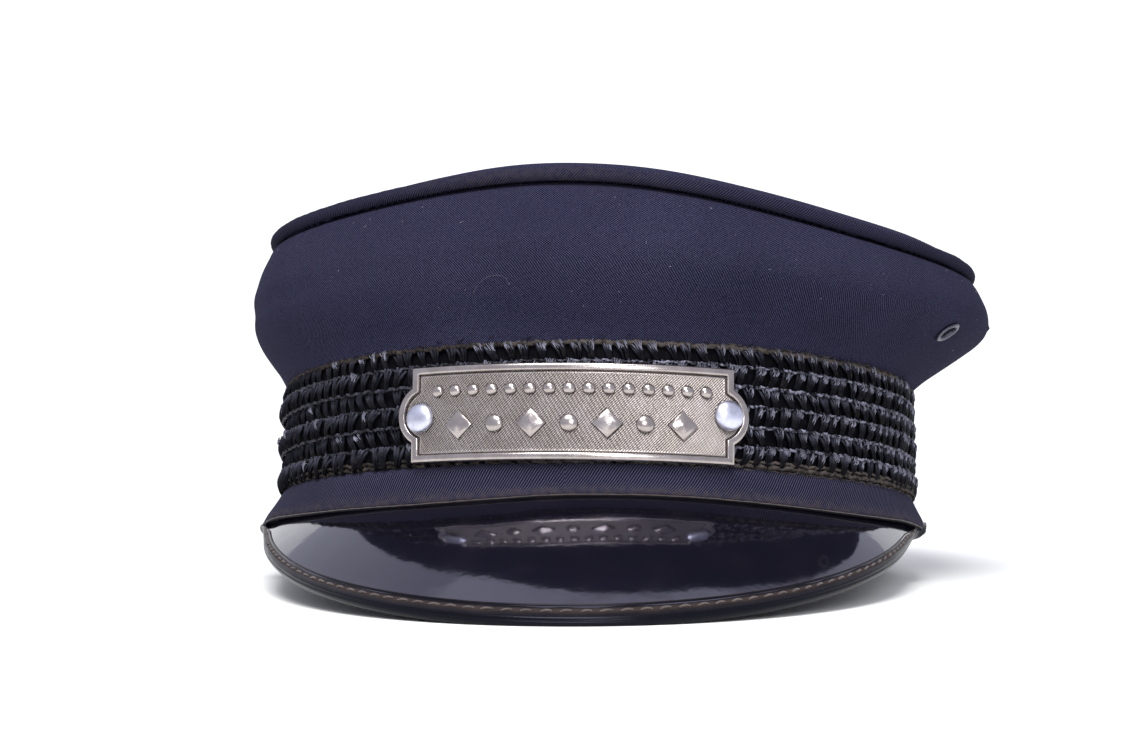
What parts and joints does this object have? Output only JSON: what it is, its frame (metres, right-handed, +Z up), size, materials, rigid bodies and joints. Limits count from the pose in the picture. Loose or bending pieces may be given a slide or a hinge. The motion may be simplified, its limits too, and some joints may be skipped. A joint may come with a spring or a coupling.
{
  "type": "conductor cap",
  "caption": "Soft-crowned uniform cap with a ridged braid round its band, a bound patent leather visor and a curved badge plate held by domed rivets.",
  "frame": {"origin": "bottom centre of the outline, on the surface the cap rests on", "axes": "+Z up from that surface, -Y towards the front of the cap where the visor is, +X towards the wearer's left"},
  "size_m": [0.2228, 0.2776, 0.1144],
  "materials": {
    "cloth": "matte navy wool twill",
    "braid": "black mohair braid with a soft sheen",
    "patent_leather": "high gloss black patent leather",
    "binding_leather": "semi-gloss black leather with worn edges",
    "worn_leather": "worn brown leather",
    "nickel_silver": "aged nickel silver with a polished rim",
    "rivet_steel": "bright domed rivet head",
    "eyelet_metal": "dull grey enamelled eyelet"
  },
  "bodies": {
    "root": {"head_band": "cloth", "braid_band": "braid", "crown_side": "cloth", "top_piping": "cloth", "crown_top": "cloth", "visor": "patent_leather", "visor_binding": "binding_leather", "visor_welt": "worn_leather", "badge_plate": "nickel_silver", "badge_rivet_right": "rivet_steel", "badge_rivet_left": "rivet_steel", "vent_eyelet": "eyelet_metal"}
  },
  "joints": []
}
